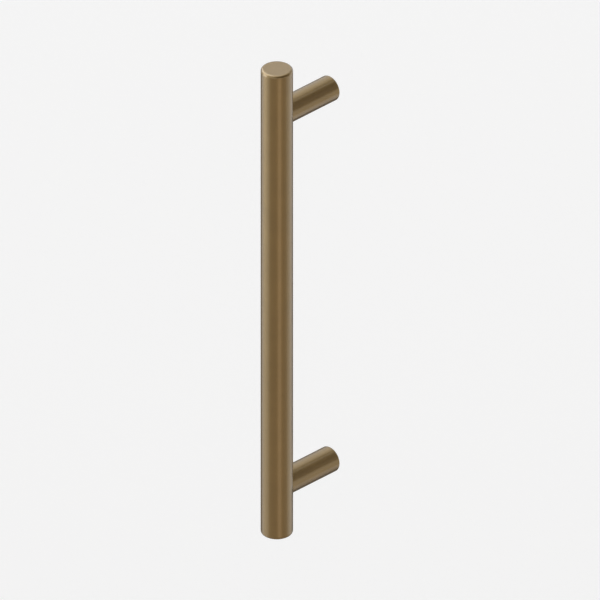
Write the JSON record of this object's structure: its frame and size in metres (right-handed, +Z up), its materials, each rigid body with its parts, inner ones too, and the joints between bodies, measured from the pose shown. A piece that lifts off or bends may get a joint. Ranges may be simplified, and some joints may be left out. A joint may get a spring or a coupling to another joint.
{
  "type": "door pull handle",
  "caption": "Straight round bar door pull on two round posts, with flat capped ends, fixed to a door from behind through threaded feet.",
  "frame": {"origin": "midway between the two post feet, on the plane where they stand on the door", "axes": "+Z up along the bar, +Y from the bar into the door, +X to the right when facing the door"},
  "size_m": [0.03, 0.085, 0.5],
  "materials": {
    "satin_brass": "satin, darkened brass with a clear lacquer",
    "steel_fastener": "plain machined steel"
  },
  "bodies": {
    "root": {"grip_tube": "satin_brass", "upper_end_cap": "satin_brass", "lower_end_cap": "satin_brass", "upper_post": "satin_brass", "lower_post": "satin_brass", "upper_saddle_nut": "steel_fastener", "lower_saddle_nut": "steel_fastener", "upper_joining_screw": "steel_fastener", "lower_joining_screw": "steel_fastener", "upper_lock_washer": "steel_fastener", "lower_lock_washer": "steel_fastener", "upper_foot_insert": "steel_fastener", "lower_foot_insert": "steel_fastener"}
  },
  "joints": []
}
